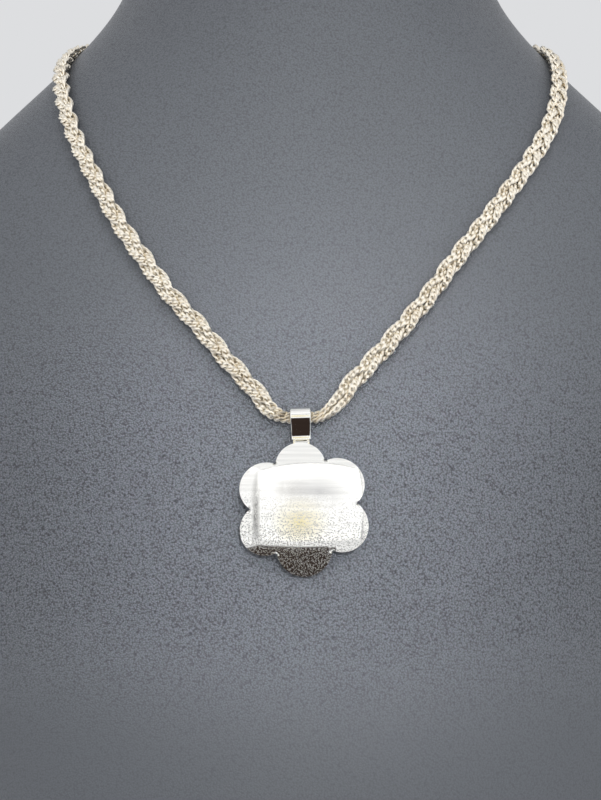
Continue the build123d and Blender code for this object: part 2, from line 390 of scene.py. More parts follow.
def middle_line(spacing=0.2, fine_points=12000):
    """The plait's middle line at even steps: a cubic spline over the knots' chord length."""
    clasp = np.array(CLASP_CENTRE)
    inside = np.array([(STRAND_END, 0, 0), ((STRAND_END + STRAND_MOUTH) / 2, 0, 0), (STRAND_MOUTH, 0, 0)])
    bail = np.array(BAIL_CENTRE) + np.array([(-BAIL_SHOULDER, 0, 0), (0, 0, 0), (BAIL_SHOULDER, 0, 0)])
    knots = np.concatenate([clasp - inside, ROUTE_LEFT, bail, ROUTE_RIGHT, (clasp + inside)[::-1]])
    along = lengths_along(knots)
    fine = cubic_spline(along, knots, np.linspace(0, along[-1], fine_points))
    length = lengths_along(fine)
    even = np.linspace(0, length[-1], round(length[-1] / spacing))
    line = np.stack([np.interp(even, length, fine[:, axis]) for axis in range(3)], axis=-1)
    bail_along = even[np.argmin(np.linalg.norm(line - BAIL_CENTRE, axis=1))]
    return line, even, bail_along


def skin_directions(line, bust, window_points=25):
    """For each point of the line, the direction out of the bust's skin, evened over the window's points."""
    tree = BVHTree.FromPolygons(*bust)
    nearest = np.array([tree.find_nearest(point)[0] for point in line.tolist()])
    out = unit(line - nearest)
    window = np.ones(window_points) / window_points
    padded = np.pad(out, ((window_points // 2, window_points // 2), (0, 0)), mode="edge")
    return unit(np.stack([np.convolve(padded[:, axis], window, "valid") for axis in range(3)], axis=-1))


def lobes_at(distance):
    """How many lobes lie between the bail and this distance: the integral of one over the lobe pitch."""
    steady = (LOBE_PITCH_LOW - LOBE_PITCH_TOP) / LOBE_PITCH_DROP
    near = np.minimum(distance, steady)
    lobes = np.log(LOBE_PITCH_LOW / (LOBE_PITCH_LOW - LOBE_PITCH_DROP * near)) / LOBE_PITCH_DROP
    return lobes + np.maximum(distance - steady, 0) / LOBE_PITCH_TOP


def strand_line(number, sizes, line, even, bail_along, out):
    """
    One strand's middle line and the direction of its width.
    Across the skin it swings by sin(phase) and rises from it by -sin(2 phase), a three-strand plait, and its
    flat leans by -cos(3 phase). Towards the bail the three flats turn on edge and lie side by side.
    """
    swing, rise = sizes.plait_swing / MM, sizes.plait_rise / MM
    ahead = unit(np.gradient(line, axis=0))
    inward = unit(np.cross(out, ahead))
    outward = np.cross(ahead, inward)
    side = np.where(even < bail_along, -1, 1)
    distance = np.abs(even - bail_along)
    bundle = np.where(side < 0, BUNDLE_LEFT, BUNDLE_RIGHT)
    start = CHAIN_PHASE + 2 * pi * number / 3
    lobes = lobes_at(distance) - lobes_at(bundle)
    phase = start + side * 2 * pi / 3 * np.maximum(lobes, 0)
    plaited = smooth_step((distance - BAIL_SHOULDER) / (bundle + BUNDLE_FADE - BAIL_SHOULDER))[:, None]
    stacked = sizes.stack_spacing / MM * (0, 1, -1)[number]
    across = plaited * (swing * np.sin(phase))[:, None] + (1 - plaited) * stacked
    lift = plaited * (-rise * np.sin(2 * phase))[:, None]
    centre = line + inward * across + outward * lift
    lean = -sizes.plait_lean * np.cos(3 * phase)
    lean = lean * plaited[:, 0] + (1 - plaited[:, 0]) * pi / 2
    width = inward * np.cos(lean)[:, None] + outward * np.sin(lean)[:, None]
    return centre, width


def link_template(sizes, sides=14, wire=6):
    """
    One curb link round the origin: a wire along the oval (a cos t, b sin t, -c sin 2t). Its ends are twisted
    opposite ways so that each link passes through the next, and its section is pressed a little flat.
    """
    wire_radius = sizes.link_wire / MM / 2
    a = (sizes.link_pitch + sizes.link_wire) / MM / 2
    b = (sizes.link_width - sizes.link_wire) / MM / 2
    c = sizes.link_twist / MM
    t = np.linspace(0, 2 * pi, sides, endpoint=False)
    middle = np.stack([a * np.cos(t), b * np.sin(t), -c * np.sin(2 * t)], axis=-1)
    ahead = unit(np.stack([-a * np.sin(t), b * np.cos(t), -2 * c * np.cos(2 * t)], axis=-1))
    up = np.broadcast_to([0.0, 0.0, 1.0], ahead.shape)
    across = unit(np.cross(ahead, up))
    up = np.cross(across, ahead)
    turn = np.linspace(0, 2 * pi, wire, endpoint=False)[None, :, None]
    round_section = across[:, None] * np.cos(turn) + up[:, None] * np.sin(turn) * sizes.link_press
    return middle[:, None] + wire_radius * round_section


def chain_links(centre, width, sizes, spare=2.0):
    """Points and faces of one strand: the link template every pitch along its length, less what is spare."""
    pitch = sizes.link_pitch / MM
    length = lengths_along(centre)
    count = int((length[-1] - spare) // pitch)
    at = (length[-1] - (count - 1) * pitch) / 2 + pitch * np.arange(count)

    def read(values, places):
        return np.stack([np.interp(places, length, values[:, axis]) for axis in range(3)], axis=-1)

    middle = read(centre, at)
    ahead = unit(read(centre, at + pitch / 2) - read(centre, at - pitch / 2))
    across = read(width, at)
    across = unit(across - ahead * (across * ahead).sum(axis=1, keepdims=True))
    up = np.cross(ahead, across)
    axes = np.stack([ahead, across, up], axis=1)
    template = link_template(sizes)
    sides, wire = template.shape[:2]
    points = middle[:, None] + template.reshape(1, -1, 3) @ axes
    quads = grid_quads(sides, wire, wrap_rows=True)
    faces = quads[None] + (np.arange(count) * sides * wire)[:, None, None]
    return points.reshape(-1, 3), faces.reshape(-1, 4).tolist()


def petal_circles():
    """Middle and radius of each petal's circle, from the top one on towards the left."""
    place = pi / 2 + 2 * pi * np.arange(len(PETALS)) / len(PETALS) + np.radians(PETALS[:, 0])
    offset = PETALS[:, 1] * PETAL_OFFSET
    return np.stack([offset * np.cos(place), offset * np.sin(place)], axis=-1), PETALS[:, 2] * PETAL_RADIUS


def notch_middles(centres, radii):
    """
    Middle of each notch's small circle, which touches a petal and the next: the outer corner of a triangle on
    the petals' middles, whose other sides are the radii added up.
    """
    between = np.roll(centres, -1, axis=0) - centres
    apart = np.linalg.norm(between, axis=1, keepdims=True)
    near = radii[:, None] + NOTCH_ROUNDING
    far = np.roll(near, -1, axis=0)
    along = (apart**2 + near**2 - far**2) / (2 * apart)
    aside = np.sqrt(near**2 - along**2)
    ahead = between / apart
    outward = np.stack([ahead[:, 1], -ahead[:, 0]], axis=-1)
    return centres + ahead * along + outward * aside


def flower_radius(angle):
    """How far out the outline lies at each angle: the farthest petal's arc, or the notch's between them."""
    centres, radii = petal_circles()
    notches = notch_middles(centres, radii)
    ray = np.stack([np.cos(angle), np.sin(angle)], axis=-1)
    along = ray @ centres.T
    spare = radii**2 - (centres**2).sum(axis=1) + along**2
    outline = np.where((spare > 0) & (along > 0), along + np.sqrt(np.maximum(spare, 0)), 0).max(axis=1)
    share = (NOTCH_ROUNDING / (radii + NOTCH_ROUNDING))[:, None]
    first = notches + (centres - notches) * share
    last = notches + (np.roll(centres, -1, axis=0) - notches) * np.roll(share, -1, axis=0)
    start = np.arctan2(first[:, 1], first[:, 0])
    span = (np.arctan2(last[:, 1], last[:, 0]) - start) % (2 * pi)
    inside = (angle[:, None] - start) % (2 * pi) < span
    along = ray @ notches.T
    spare = NOTCH_ROUNDING**2 - (notches**2).sum(axis=1) + along**2
    notch = ((along - np.sqrt(np.maximum(spare, 0))) * inside).sum(axis=1)
    return np.where(inside.any(axis=1), notch, outline)


def rim_distance(places):
    """The true distance from places on the plate to its outline: to a petal's arc, or to a notch's circle."""
    centres, radii = petal_circles()
    notches = notch_middles(centres, radii)
    to_petal = (radii - np.linalg.norm(places[..., None, :] - centres, axis=-1)).max(axis=-1)
    from_notch = places[..., None, :] - notches
    first, last = centres - notches, np.roll(centres, -1, axis=0) - notches
    before = first[:, 0] * from_notch[..., 1] - first[:, 1] * from_notch[..., 0]
    after = from_notch[..., 0] * last[:, 1] - from_notch[..., 1] * last[:, 0]
    to_notch = np.linalg.norm(from_notch, axis=-1) - NOTCH_ROUNDING
    to_notch = np.where((before < 0) & (after < 0), to_notch, np.inf).min(axis=-1)
    return np.maximum(np.where(np.isfinite(to_notch), to_notch, to_petal), 0)


def flower_shell(sizes, columns=432, rim_share=0.82, inner_rings=40, rim_rings=44):
    """
    The plate as one closed shell in its own frame. Front and back are spheres with one centre, and near the
    outline each falls by a quarter ellipse of the distance to it, so that they meet half way down the rim.
    Beyond the rim's share of the way out, the rings stand closer together.
    """
    angle = np.linspace(0, 2 * pi, columns, endpoint=False)
    outline = flower_radius(angle)
    inner = np.linspace(0, rim_share, inner_rings)[1:]
    outer = rim_share + (1 - rim_share) * np.sin(np.linspace(0, pi / 2, rim_rings)[1:])
    shares = np.concatenate([inner, outer])[:, None]
    radius = shares * outline
    x, y = radius * np.cos(angle), radius * np.sin(angle)
    distance = rim_distance(np.stack([x, y], axis=-1))
    sink = sqrt(DOME_RADIUS**2 - FLOWER_TIP**2)

    def face(sphere, band, fall):
        left = 1 - np.clip(distance / band, 0, 1)
        level = np.sqrt(sphere**2 - radius**2) - sink + PLATE_THICKNESS
        return level + fall * (1 - np.sqrt(np.maximum(1 - left**2, 0)))

    half = PLATE_THICKNESS / 2
    front = face(DOME_RADIUS, sizes.rim_band / MM, -half)
    back = face(DOME_RADIUS - PLATE_THICKNESS, BACK_BAND, half)
    back_rings = np.stack([x, y, back], axis=-1)
    front_rings = np.stack([x, y, front], axis=-1)
    rings = np.concatenate([back_rings, front_rings[-2::-1]])
    points, faces = closed_shell(rings)
    tilt_up = unit(np.array([0, -TOP_PETAL_LIFT, 2 * FLOWER_TIP]))
    tilt_y = np.cross(tilt_up, (1.0, 0.0, 0.0))
    turned = points[:, :1] * (1.0, 0.0, 0.0) + points[:, 1:2] * tilt_y + points[:, 2:] * tilt_up
    return turned + (0, -FLOWER_DROP, SKIN_GAP + TOP_PETAL_LIFT / 2), faces


def drop_path(radius, back, low, front_low, counts=(16, 40, 36, 6)):
    """
    The bail's side outline, as up and out: straight up the back, round over the top, down the front to its
    low end, and back along the bottom. The front is a cubic curve that leaves the round evenly and turns
    straight down on the plate. Its two handles are shares of its chord.
    """
    middle = SKIN_GAP + BAIL_STRAP + BAIL_HOLLOW
    leave = radians(12)
    near_handle, far_handle, far_heading = 0.36, 0.3, np.array([1.0, -0.05])
    start, top = np.array([low, back]), np.array([BAIL_RISE, back])
    first = start + (top - start) * np.linspace(0, 1, counts[0], endpoint=False)[:, None]
    angle = np.linspace(-pi / 2, pi / 2 + leave, counts[1], endpoint=False)
    second = np.stack([BAIL_RISE + radius * np.cos(angle), middle + radius * np.sin(angle)], axis=-1)
    away = np.array([BAIL_RISE - radius * sin(leave), middle + radius * cos(leave)])
    end = np.array([low, front_low])
    reach = np.linalg.norm(end - away)
    near = away + near_handle * reach * np.array([-cos(leave), -sin(leave)])
    far = end + far_handle * reach * far_heading
    share = np.linspace(0, 1, counts[2], endpoint=False)[:, None]
    left = 1 - share
    third = left**3 * away + 3 * left**2 * share * near + 3 * left * share**2 * far + share**3 * end
    fourth = end + (start - end) * np.linspace(0, 1, counts[3], endpoint=False)[:, None]
    return np.concatenate([first, second, third, fourth])


def bail_shell(corner=0.3, around=28):
    """
    The strap as a closed tube: at each place of the loop its section is a rectangle with rounded corners,
    between the inner and the outer outline, as wide as the strap is there.
    """
    plate_front = SKIN_GAP + PLATE_THICKNESS
    outer = drop_path(BAIL_HOLLOW + BAIL_STRAP, SKIN_GAP, -BAIL_DROP, plate_front + BAIL_FOOT)
    hollow_back = SKIN_GAP + BAIL_STRAP
    inner = drop_path(BAIL_HOLLOW, hollow_back, BAIL_STRAP - BAIL_DROP, hollow_back + BAIL_STRAP / 4)
    share = np.clip(outer[:, 0] / (-BAIL_DROP - SOLDER_LENGTH), 0, 1)
    half = (BAIL_WIDTH_TOP + (BAIL_WIDTH_LOW - BAIL_WIDTH_TOP) * share)[:, None] / 2
    quarter = np.linspace(0, pi / 2, around // 4)
    turn = np.concatenate([quarter + k * pi / 2 for k in range(4)])
    corner_x = np.repeat([1.0, -1.0, -1.0, 1.0], len(quarter))
    corner_t = np.repeat([1.0, 1.0, -1.0, -1.0], len(quarter))
    x = corner_x * (half - corner) + corner * np.cos(turn)
    depth = np.linalg.norm(outer - inner, axis=1, keepdims=True)
    t = corner_t * (depth / 2 - corner) + corner * np.sin(turn)
    place = (inner + outer)[:, None] / 2 + unit(outer - inner)[:, None] * t[..., None]
    points = np.concatenate([x[..., None], place], axis=-1)
    rows, columns = points.shape[:2]
    return points.reshape(-1, 3), grid_quads(rows, columns, wrap_rows=True).tolist()


def solder_tail(count=24, squareness=0.8, width_share=0.95, depth_share=0.9):
    """The strap's flat end behind the top petal: a rounded bar whose rings run down from inside the loop."""
    low, high = -(BAIL_DROP + SOLDER_LENGTH), -BAIL_DROP + SOLDER_OVERLAP
    half_out = SOLDER_THICKNESS / 2
    angle = np.linspace(0, 2 * pi, count, endpoint=False)
    square = np.maximum(np.abs(np.cos(angle)), np.abs(np.sin(angle)))
    section = np.stack([np.cos(angle), np.sin(angle)], axis=-1) / square[:, None] ** squareness
    rings = []
    for share, fill in SOLDER_RINGS:
        up = np.full(count, high + (low - high) * share)
        x = section[:, 0] * BAIL_WIDTH_LOW / 2 * width_share * fill
        out = SKIN_GAP + half_out + section[:, 1] * half_out * fill * depth_share
        rings.append(np.stack([x, up, out], axis=-1))
    return closed_shell(np.array(rings))


def on_chest(points):
    """Points of the pendant's frame (across, up, out) leaned a little and laid on the chest."""
    x = points[:, 0] * cos(PENDANT_LEAN) - points[:, 1] * sin(PENDANT_LEAN)
    y = points[:, 0] * sin(PENDANT_LEAN) + points[:, 1] * cos(PENDANT_LEAN)
    across = x[:, None] * (1.0, 0.0, 0.0)
    return CHEST_AT_BAIL + across + y[:, None] * CHEST_UP + points[:, 2:] * CHEST_OUT


def clasp_shell(columns=64, edge_points=7):
    """A barrel turned about its axis: its profile is radius over length, with round edges and two sockets."""
    half = CLASP_LENGTH / 2
    turn = np.linspace(0, pi / 2, edge_points)
    edge_along = half - CLASP_EDGE + CLASP_EDGE * np.sin(turn)
    edge_out = CLASP_RADIUS - CLASP_EDGE + CLASP_EDGE * np.cos(turn)
    socket = np.array([
        (half, SOCKET_RADIUS + SOCKET_LIP),
        (half - SOCKET_LIP, SOCKET_RADIUS),
        (half - SOCKET_DEPTH, SOCKET_RADIUS),
        (half - SOCKET_DEPTH, SOCKET_FLOOR_RADIUS),
    ])
    groove = np.array([(along, CLASP_RADIUS - depth) for along, depth in CLASP_GROOVE])
    right = np.concatenate([groove[::-1], np.stack([edge_along, edge_out], axis=-1), socket])
    left = right[:0:-1] * (-1, 1)
    profile = np.concatenate([left, right])
    angle = np.linspace(0, 2 * pi, columns, endpoint=False)
    x = np.broadcast_to(profile[:, :1], (len(profile), columns))
    y = profile[:, 1:] * np.cos(angle)
    z = profile[:, 1:] * np.sin(angle)
    points, faces = closed_shell(np.stack([x, y, z], axis=-1))
    return points + CLASP_CENTRE, faces


def grained_leatherette(looks):
    """
    Polyurethane leatherette, embossed with a fine pebble grain and matt-lacquered: the pebbles glint a little
    from their gloss. Painted light and shade are multiplied into the colour: the pebble tops are painted
    lighter and the valleys between painted darker. In a band across the middle of the chest the grain and
    this painted light and shade are strongest, and the band is painted brighter overall; towards the neck and
    the base both are weaker. The noise breaks up the pebbles' edges. The band's mask sets the bump's strength
    and that of the painted light and shade.
    """
    material, tree = new_material("embossed_leatherette")
    pebble, gap = 0.6, 1.4
    noise_share, noise_fineness = 0.9, 1.7
    place = add(tree, "ShaderNodeTexCoord").outputs["Object"]
    grain = 1 / looks.grain_size
    pebbles = add(tree, "ShaderNodeTexVoronoi", {"Vector": place, "Scale": grain})
    fine = add(tree, "ShaderNodeTexNoise", {"Vector": place, "Scale": grain * noise_fineness, "Detail": 2.0,
                                            "Roughness": 0.6})
    depth = add(tree, "ShaderNodeMath", {0: fine.outputs["Fac"], 1: noise_share,
                                         2: pebbles.outputs["Distance"]}, operation="MULTIPLY_ADD")
    level = add(tree, "ShaderNodeSeparateXYZ", {0: place})
    # The band where the grain is deepest and its painted light and shade are strongest: it comes in above the
    # base and eases off towards the neck
    band_comes_in = add(tree, "ShaderNodeMapRange", {"Value": level.outputs["Z"], "To Min": 0.15, "To Max": 1.0,
                                                 "From Min": GRAIN_AND_PAINTED_LIGHT_IN[0] * MM,
                                                 "From Max": GRAIN_AND_PAINTED_LIGHT_IN[1] * MM},
                    interpolation_type="SMOOTHSTEP")
    band_eases_off = add(tree, "ShaderNodeMapRange", {"Value": level.outputs["Z"], "To Min": 1.0, "To Max": 0.3,
                                            "From Min": GRAIN_AND_PAINTED_LIGHT_OFF[0] * MM,
                                            "From Max": GRAIN_AND_PAINTED_LIGHT_OFF[1] * MM},
               interpolation_type="SMOOTHSTEP")
    relief_and_painted_light = add(tree, "ShaderNodeMath", {0: band_comes_in.outputs["Result"], 1: band_eases_off.outputs["Result"]},
                 operation="MULTIPLY")
    bump = add(tree, "ShaderNodeBump", {"Strength": relief_and_painted_light.outputs[0], "Distance": GRAIN_DEPTH * MM,
                                        "Height": depth.outputs[0]}, invert=True)
    # Painted light and shade on the grain: the pebble tops painted lighter, the valleys painted darker
    painted_pebble_light_and_shade = add(tree, "ShaderNodeMapRange", {"Value": depth.outputs[0], "From Min": pebble, "From Max": gap,
                                              "To Min": 1.35, "To Max": -0.62})
    # Full painted light and shade in the band, whose mean paints the band brighter; little of it elsewhere
    shade = add(tree, "ShaderNodeMath", {0: painted_pebble_light_and_shade.outputs["Result"], 1: relief_and_painted_light.outputs[0], 2: 1.0},
                operation="MULTIPLY_ADD")
    tone = add(tree, "ShaderNodeMix", {"Factor": 1.0, "A": linear(looks.leatherette_colour),
                                       "B": shade.outputs[0]}, data_type="RGBA", blend_type="MULTIPLY")
    gloss = add(tree, "ShaderNodeMapRange", {"Value": depth.outputs[0], "From Min": pebble, "From Max": gap,
                                             "To Min": 0.3, "To Max": 0.55})
    shader = add(tree, "ShaderNodeBsdfPrincipled", {"Base Color": tone.outputs["Result"], "IOR": 1.5,
                                                    "Roughness": gloss.outputs["Result"],
                                                    "Normal": bump.outputs["Normal"]})
    add(tree, "ShaderNodeOutputMaterial", {"Surface": shader.outputs[0]})
    return material


def polished_silver(looks):
    """
    Silver polished to a mirror, over a cast face that keeps fine pits low on the flower: reflections are
    sharp above and break into small sparks below. The pits' floors are drawn darker, low on the flower only.
    Real polishing streaks are too fine to show, so they are drawn as coarse as they need to be.
    """
    material, tree = new_material("mirror_polished_silver")
    place = add(tree, "ShaderNodeTexCoord").outputs["Object"]
    cast = add(tree, "ShaderNodeTexVoronoi", {"Vector": place, "Scale": 1 / looks.pit_size})
    pits = add(tree, "ShaderNodeMapRange", {"Value": cast.outputs["Distance"], "From Min": 0.12,
                                            "From Max": 0.44}, interpolation_type="SMOOTHSTEP")
    level = add(tree, "ShaderNodeSeparateXYZ", {0: place})
    low = add(tree, "ShaderNodeMapRange", {"Value": level.outputs["Z"], "From Min": PITS_FADE_OUT[0] * MM,
                                           "From Max": PITS_FADE_OUT[1] * MM, "To Min": 1.0,
                                           "To Max": 0.0}, interpolation_type="SMOOTHSTEP")
    bump = add(tree, "ShaderNodeBump", {"Strength": low.outputs["Result"], "Distance": PIT_DEPTH * MM,
                                        "Height": pits.outputs["Result"]})
    streak_place = add(tree, "ShaderNodeMapping", {"Vector": place, "Scale": STREAKS_PER_METRE})
    streaks = add(tree, "ShaderNodeTexNoise", {"Vector": streak_place.outputs[0], "Scale": 1.0,
                                               "Detail": 2.0})
    polish = add(tree, "ShaderNodeMapRange", {"Value": streaks.outputs["Fac"], "From Min": 0.35,
                                              "From Max": 0.65, "To Min": 0.9, "To Max": 1.0})
    # The pits' floors drawn darker, faded out above the lower part of the flower
    worn = add(tree, "ShaderNodeMapRange", {"Value": cast.outputs["Distance"], "From Min": 0.2,
                                            "From Max": 0.4, "To Min": 0.75, "To Max": 0.0})
    low_pit_darkening = add(tree, "ShaderNodeMath", {0: worn.outputs["Result"], 1: low.outputs["Result"]},
               operation="MULTIPLY")
    bright = add(tree, "ShaderNodeMath", {0: polish.outputs["Result"], 1: low_pit_darkening.outputs[0]},
                 operation="SUBTRACT")
    tone = add(tree, "ShaderNodeMix", {"Factor": 1.0, "A": linear(looks.silver_colour),
                                       "B": bright.outputs[0]}, data_type="RGBA", blend_type="MULTIPLY")
    shader = add(tree, "ShaderNodeBsdfPrincipled", {"Base Color": tone.outputs["Result"], "Metallic": 1.0,
                                                    "Roughness": 0.06, "Normal": bump.outputs["Normal"]})
    add(tree, "ShaderNodeOutputMaterial", {"Surface": shader.outputs[0]})
    return material


def chain_silver(looks):
    """Silver wire, tumbled bright, with warm tarnish in patches: a soft gloss of uneven roughness."""
    material, tree = new_material("tumbled_silver_wire")
    place = add(tree, "ShaderNodeTexCoord").outputs["Object"]
    wear = add(tree, "ShaderNodeTexNoise", {"Vector": place, "Scale": WEAR_PER_METRE, "Detail": 3.0})
    gloss = add(tree, "ShaderNodeMapRange", {"Value": wear.outputs["Fac"], "From Min": 0.35,
                                             "From Max": 0.65, "To Min": 0.26, "To Max": 0.42})
    tarnish = add(tree, "ShaderNodeTexNoise", {"Vector": place, "Scale": TARNISH_PER_METRE, "Detail": 2.0})
    amount = add(tree, "ShaderNodeMapRange", {"Value": tarnish.outputs["Fac"], "From Min": 0.4,
                                              "From Max": 0.7, "To Min": 0.0, "To Max": 0.35})
    tone = add(tree, "ShaderNodeMix", {"Factor": amount.outputs["Result"], "A": linear(looks.chain_colour),
                                       "B": linear(looks.chain_tarnish)}, data_type="RGBA")
    shader = add(tree, "ShaderNodeBsdfPrincipled", {"Base Color": tone.outputs["Result"], "Metallic": 1.0,
                                                    "Roughness": gloss.outputs["Result"]})
    add(tree, "ShaderNodeOutputMaterial", {"Surface": shader.outputs[0]})
    return material


def pale_paper(name, colour, roughness):
    """Matt paper: one pale tone with a faint mottle, and a rough surface."""
    material, tree = new_material(name)
    place = add(tree, "ShaderNodeTexCoord").outputs["Object"]
    cloud = add(tree, "ShaderNodeTexNoise", {"Vector": place, "Scale": MOTTLE_PER_METRE, "Detail": 3.0})
    shade = add(tree, "ShaderNodeMapRange", {"Value": cloud.outputs["Fac"], "To Min": 0.97, "To Max": 1.03})
    tone = add(tree, "ShaderNodeMix", {"Factor": 1.0, "A": linear(colour), "B": shade.outputs["Result"]},
               data_type="RGBA", blend_type="MULTIPLY")
    shader = add(tree, "ShaderNodeBsdfPrincipled", {"Base Color": tone.outputs["Result"],
                                                    "Roughness": roughness})
    add(tree, "ShaderNodeOutputMaterial", {"Surface": shader.outputs[0]})
    return material


class NecklaceSizes(bpy.types.PropertyGroup):
    """Sizes of the chain's plait and links, and of the flower's rim."""

    plait_swing: FloatProperty(name="Plait swing", description="How far a strand swings to each side",
                               default=0.00135, unit="LENGTH", precision=5)
    plait_rise: FloatProperty(name="Plait rise", description="How far a strand passes over the others",
                              default=0.0008, unit="LENGTH", precision=5)
    plait_lean: FloatProperty(name="Strand lean", description="How far a strand's flat leans as it crosses",
                              default=radians(30), subtype="ANGLE")
    stack_spacing: FloatProperty(name="Spacing in the bail", description="Between strands that lie on edge",
                                 default=0.00078, unit="LENGTH", precision=5)
    link_pitch: FloatProperty(name="Link pitch", description="From one curb link to the next",
                              default=0.0015, unit="LENGTH", precision=5)
    link_width: FloatProperty(name="Link width", description="Across the flat of a strand",
                              default=0.002, unit="LENGTH", precision=5)
    link_wire: FloatProperty(name="Wire", description="Thickness of a link's wire",
                             default=0.00078, unit="LENGTH", precision=5)
    link_press: FloatProperty(name="Pressed", description="Pressed wire's height as a share of its width",
                              default=0.72, min=0.3, max=1.0)
    link_twist: FloatProperty(name="Link twist", description="How far a link's wire rises at its corners",
                              default=0.00036, unit="LENGTH", precision=5)
    rim_band: FloatProperty(name="Rim band", description="Width of the rounded band round each petal",
                            default=0.00085, unit="LENGTH", precision=5)


class NecklaceLooks(bpy.types.PropertyGroup):
    """Colours and pattern sizes of the finishes, and the strength of the studio's light."""

    silver_colour: StringProperty(name="Polished silver", description="Hex colour", default="#F5F4F0")
    chain_colour: StringProperty(name="Chain silver", description="Hex colour", default="#FFF8EA")
    chain_tarnish: StringProperty(name="Chain tarnish", description="Hex colour of the worn places",
                                  default="#E2D2B8")
    leatherette_colour: StringProperty(name="Leatherette", description="Hex colour", default="#515459")
    floor_colour: StringProperty(name="Floor", description="Hex colour", default="#F7F7F8")
    grain_size: FloatProperty(name="Grain", description="Size of one pebble of the leatherette",
                              default=0.00044, unit="LENGTH", precision=5)
    pit_size: FloatProperty(name="Pits", description="Spacing of the fine pits in the polished silver",
                            default=0.0003, unit="LENGTH", precision=5)
    softbox_power: FloatProperty(name="Softbox", description="Power of the large front light",
                                 default=1.8, unit="POWER")
    fill_power: FloatProperty(name="Fill", description="Power of the narrow lamp above the chest",
                              default=0.05, unit="POWER")


class NECKLACE_OT_bust(bpy.types.Operator):
    """Adds the neck bust."""

    bl_idname = "necklace.bust"
    bl_label = "Neck bust"

    def execute(self, context):
        points, faces = bust_shape()
        material = grained_leatherette(context.scene.necklace_looks)
        make_piece("leatherette_neck_bust", points, faces, material, "leatherette", "neck_bust")
        return {"FINISHED"}


class NECKLACE_OT_chain(bpy.types.Operator):
    """Adds the plait's three strands of curb links."""

    bl_idname = "necklace.chain"
    bl_label = "Plaited chain"

    def execute(self, context):
        sizes = context.scene.necklace_sizes
        material = chain_silver(context.scene.necklace_looks)
        bust_points, bust_faces = bust_shape(columns=144, rows=90)
        line, even, bail_along = middle_line()
        out = skin_directions(line, (bust_points.tolist(), bust_faces))
        for number in range(3):
            centre, width = strand_line(number, sizes, line, even, bail_along, out)
            points, faces = chain_links(centre, width, sizes)
            make_piece(f"curb_strand_{number + 1}", points, faces, material, "chain_silver",
                       f"strand_{number + 1}")
        return {"FINISHED"}


class NECKLACE_OT_pendant(bpy.types.Operator):
    """Adds the flower plate with its bail."""

    bl_idname = "necklace.pendant"
    bl_label = "Flower pendant"

    def execute(self, context):
        sizes = context.scene.necklace_sizes
        points, faces = np.empty((0, 3)), []
        for shell, shell_faces in (flower_shell(sizes), bail_shell(), solder_tail()):
            faces += [[index + len(points) for index in face] for face in shell_faces]
            points = np.concatenate([points, shell])
        material = polished_silver(context.scene.necklace_looks)
        make_piece("silver_flower_and_bail", on_chest(points), faces, material, "polished_silver",
                   "flower_pendant")
        return {"FINISHED"}


class NECKLACE_OT_clasp(bpy.types.Operator):
    """Adds the plain barrel clasp at the nape."""

    bl_idname = "necklace.clasp"
    bl_label = "Clasp"

    def execute(self, context):
        points, faces = clasp_shell()
        make_piece("barrel_clasp", points, faces, chain_silver(context.scene.necklace_looks), "chain_silver",
                   "clasp")
        return {"FINISHED"}


def stage_plane(name, centre, across, up, material):
    """A flat four-cornered sheet of the studio, given by its middle and two half edges (mm)."""
    centre, across, up = np.array(centre, float), np.array(across, float), np.array(up, float)
    low, high = centre - up, centre + up
    corners = np.array([low - across, low + across, high + across, high - across])
    mesh = bpy.data.meshes.new(name)
    mesh.from_pydata((corners * MM).tolist(), [], [(0, 1, 2, 3)])
    mesh.materials.append(material)
    sheet = bpy.data.objects.new(name, mesh)
    bpy.context.scene.collection.objects.link(sheet)
    return sheet


def facing(place, aim):
    """The side, up and back directions of a card at a place that faces another."""
    back = unit(np.array(place, float) - np.array(aim, float))
    side = unit(np.cross((0.0, 0.0, 1.0), back))
    return side, np.cross(back, side), back


def area_light(name, place, aim, size, power, spread=pi):
    """A rectangular lamp at a place (mm), turned towards another. Its light fades out at half its spread."""
    data = bpy.data.lights.new(name, "AREA")
    data.shape = "RECTANGLE"
    data.size, data.size_y = size[0] * MM, size[1] * MM
    data.energy = power
    data.spread = spread
    lamp = bpy.data.objects.new(name, data)
    bpy.context.scene.collection.objects.link(lamp)
    turned = np.eye(4)
    turned[:3, :3] = np.stack(facing(place, aim), axis=-1)
    turned[:3, 3] = np.array(place) * MM
    lamp.matrix_world = Matrix(turned.tolist())
    lamp.visible_camera = False
    return lamp


def black_cloth():
    """Black velvet: it gives almost no light back."""
    material, tree = new_material("black_velvet")
    shader = add(tree, "ShaderNodeBsdfDiffuse", {"Color": linear(VELVET_COLOUR)})
    add(tree, "ShaderNodeOutputMaterial", {"Surface": shader.outputs[0]})
    return material


def tinted_gel(name, colour):
    """A gel that takes the colour in its middle and is clear towards its edges."""
    material, tree = new_material(name)
    place = add(tree, "ShaderNodeTexCoord").outputs["Generated"]
    centred = add(tree, "ShaderNodeMapping", {"Vector": place, "Location": (-1.0, 0.0, -1.0),
                                              "Scale": (2.0, 0.0, 2.0)})
    fade = add(tree, "ShaderNodeTexGradient", {"Vector": centred.outputs[0]}, gradient_type="SPHERICAL")
    tint = add(tree, "ShaderNodeMix", {"Factor": fade.outputs["Fac"], "A": (1.0, 1.0, 1.0, 1.0),
                                       "B": linear(colour)}, data_type="RGBA")
    shader = add(tree, "ShaderNodeBsdfTransparent", {"Color": tint.outputs["Result"]})
    add(tree, "ShaderNodeOutputMaterial", {"Surface": shader.outputs[0]})
    return material


def seen_in_gloss_only(card):
    """Lets a card show in reflections, but not in the picture itself, and keeps no light away."""
    for kind in ("camera", "diffuse", "shadow", "transmission", "volume_scatter"):
        setattr(card, f"visible_{kind}", False)


